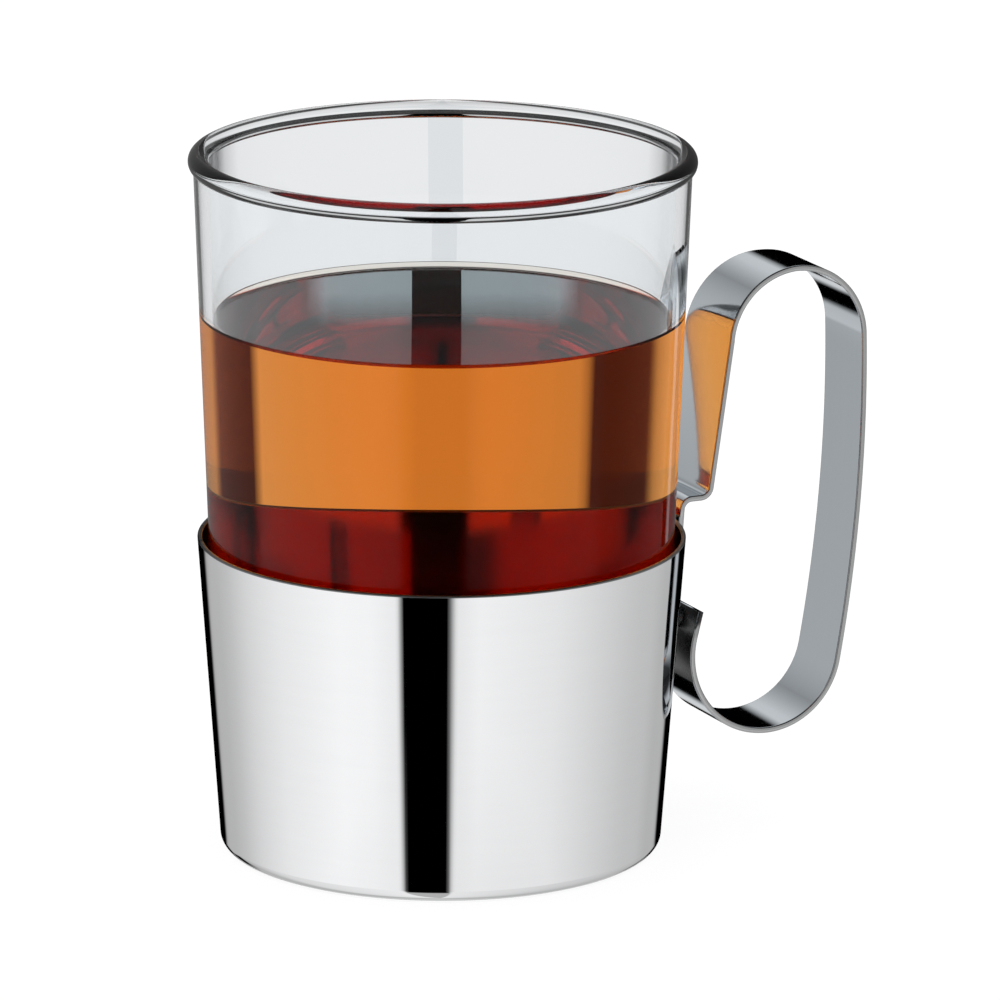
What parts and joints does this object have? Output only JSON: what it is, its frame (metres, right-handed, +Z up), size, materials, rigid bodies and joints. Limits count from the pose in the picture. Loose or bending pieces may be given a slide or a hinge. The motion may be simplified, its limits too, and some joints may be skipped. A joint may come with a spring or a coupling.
{
  "type": "tea glass",
  "caption": "Beaded glass tumbler that lifts out of a polished steel cup holder with a bent strap handle, for hot tea.",
  "frame": {"origin": "middle of the holder cup's flat base, on the surface it stands on", "axes": "+Z up along the axis of the cup and glass, +X towards the handle"},
  "size_m": [0.1065, 0.076, 0.107],
  "materials": {
    "polished_steel": "mirror-polished stainless sheet",
    "clear_glass": "clear pressed glass, fire-polished rim"
  },
  "bodies": {
    "holder": {"holder_cup": "polished_steel", "handle_strap": "polished_steel", "handle_stud": "polished_steel"},
    "tumbler": {"glass": "clear_glass"}
  },
  "joints": [
    {"name": "glass_lift", "type": "slide", "parent": "holder", "child": "tumbler", "axis": [0, 0, 1], "range_m": [0, 0.06]}
  ]
}
